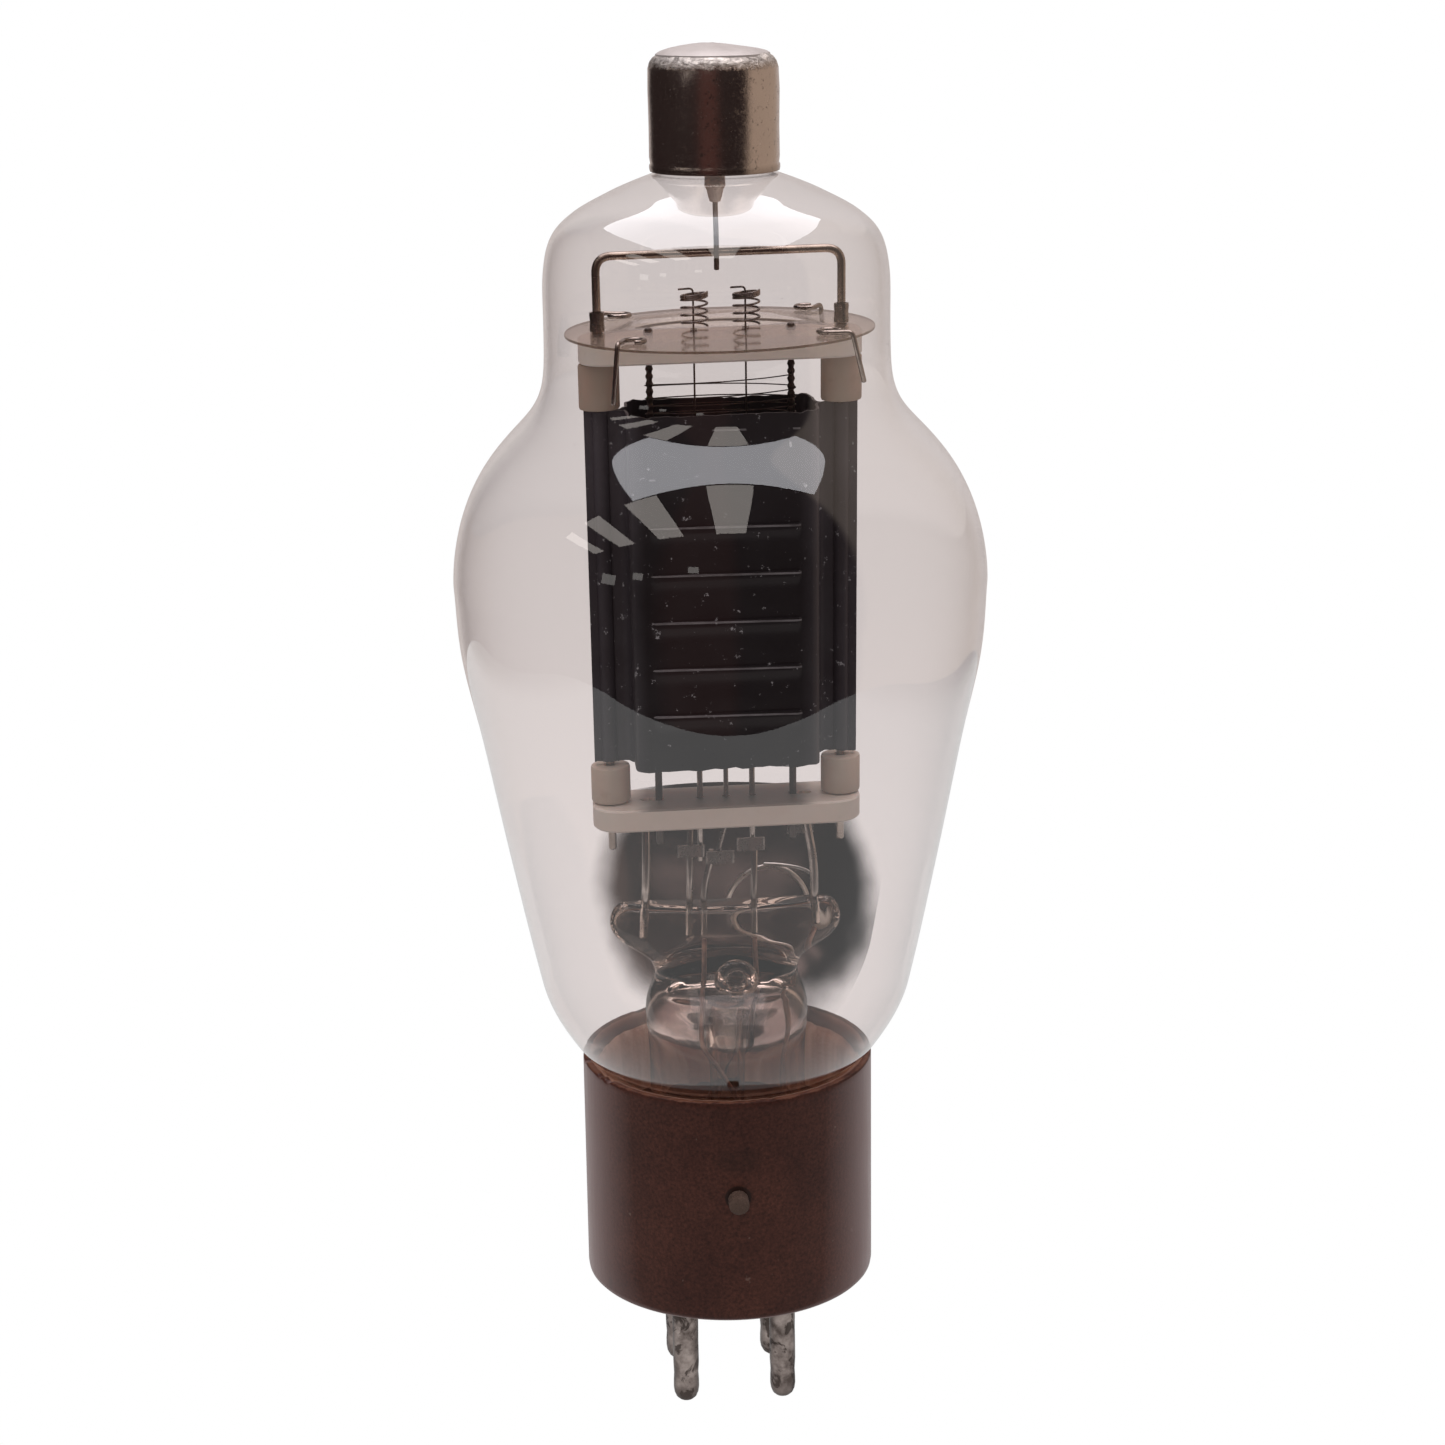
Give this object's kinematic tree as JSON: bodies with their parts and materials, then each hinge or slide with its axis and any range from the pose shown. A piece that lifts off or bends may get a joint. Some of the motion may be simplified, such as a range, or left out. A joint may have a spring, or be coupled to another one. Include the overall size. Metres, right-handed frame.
{
  "type": "vacuum tube",
  "caption": "Glass power triode valve with a shouldered bulb, a metal anode cap on top and a brown bayonet base with contact pins below.",
  "frame": {"origin": "centre of the base's flat underside, the plane that seats on the socket; the contact pins reach 16 mm below it", "axes": "+Z along the valve's axis from the base to the anode cap; -Y towards the bayonet pin, between the two thin contact pins"},
  "size_m": [0.0618, 0.0618, 0.1631],
  "materials": {
    "base_phenolic": "dark brown moulded phenolic, slightly worn",
    "cement": "rough baked basing cement",
    "glass": "clear bulb glass, faintly smoky",
    "stem_glass": "clear lead glass, thick at the press",
    "nickel": "nickel wire and strip, drawn finish",
    "cap_metal": "nickel plated cap, tarnished and pitted",
    "solder": "solder run, dull bright",
    "pin_metal": "nickel plated brass tube, tarnished",
    "brass_stud": "dark brass stud",
    "ceramic": "unglazed steatite",
    "bushing_ceramic": "unglazed insulator, brownish",
    "carbonised_nickel": "black carbonised sheet, satin",
    "mica": "clear brownish mica sheet",
    "molybdenum": "dark drawn wire",
    "tungsten": "dark drawn wire",
    "copper": "copper coated lead wire",
    "getter_metal": "fired getter channel",
    "seal_glass": "reddish wire seal glass"
  },
  "bodies": {
    "valve": {"anode_front": "carbonised_nickel", "anode_rear": "carbonised_nickel", "anode_lead": "tungsten", "anode_rod_left": "nickel", "anode_rod_right": "nickel", "anode_yoke": "nickel", "base_cement": "cement", "base_shell": "base_phenolic", "bayonet_pin": "brass_stud", "bulb_spring_front_left": "nickel", "bulb_spring_front_right": "nickel", "bulb_spring_rear_left": "nickel", "bulb_spring_rear_right": "nickel", "bushing_lower_left": "bushing_ceramic", "bushing_lower_right": "bushing_ceramic", "bushing_upper_left": "bushing_ceramic", "bushing_upper_right": "bushing_ceramic", "cap_cement": "cement", "cap_solder": "solder", "contact_pin_1": "pin_metal", "contact_pin_2": "pin_metal", "contact_pin_3": "pin_metal", "contact_pin_4": "pin_metal", "exhaust_tube": "stem_glass", "filament_lead_centre": "nickel", "filament_lead_left": "nickel", "filament_lead_right": "nickel", "filament_left": "tungsten", "filament_right": "tungsten", "filament_post_left": "nickel", "filament_post_centre": "nickel", "filament_post_right": "nickel", "getter_ring": "getter_metal", "getter_strut": "getter_metal", "glass_bulb": "glass", "glass_stem": "stem_glass", "grid_rod_left": "molybdenum", "grid_rod_right": "molybdenum", "grid_strap": "nickel", "grid_winding": "molybdenum", "lead_seal": "seal_glass", "lower_ceramic": "ceramic", "upper_ceramic": "ceramic", "mica_disc": "mica", "pin_wire_filament_a": "copper", "pin_wire_filament_b": "copper", "pin_wire_grid": "copper", "plate_cap": "cap_metal", "strap_left": "nickel", "strap_centre": "nickel", "strap_right": "nickel", "support_rod_left": "nickel", "support_rod_right": "nickel", "tension_spring_left": "tungsten", "tension_spring_right": "tungsten", "yoke_sleeve_left": "nickel", "yoke_sleeve_right": "nickel"},
    "hook_left": {"filament_hook_left": "tungsten"},
    "hook_right": {"filament_hook_right": "tungsten"}
  },
  "joints": [
    {"name": "filament_tension_left", "type": "slide", "parent": "valve", "child": "hook_left", "axis": [0, 0, 1], "range_m": [0, 0.0004], "deforming": ["tension_spring_left", "filament_left"]},
    {"name": "filament_tension_right", "type": "slide", "parent": "valve", "child": "hook_right", "axis": [0, 0, 1], "range_m": [0, 0.0004], "deforming": ["tension_spring_right", "filament_right"]}
  ]
}
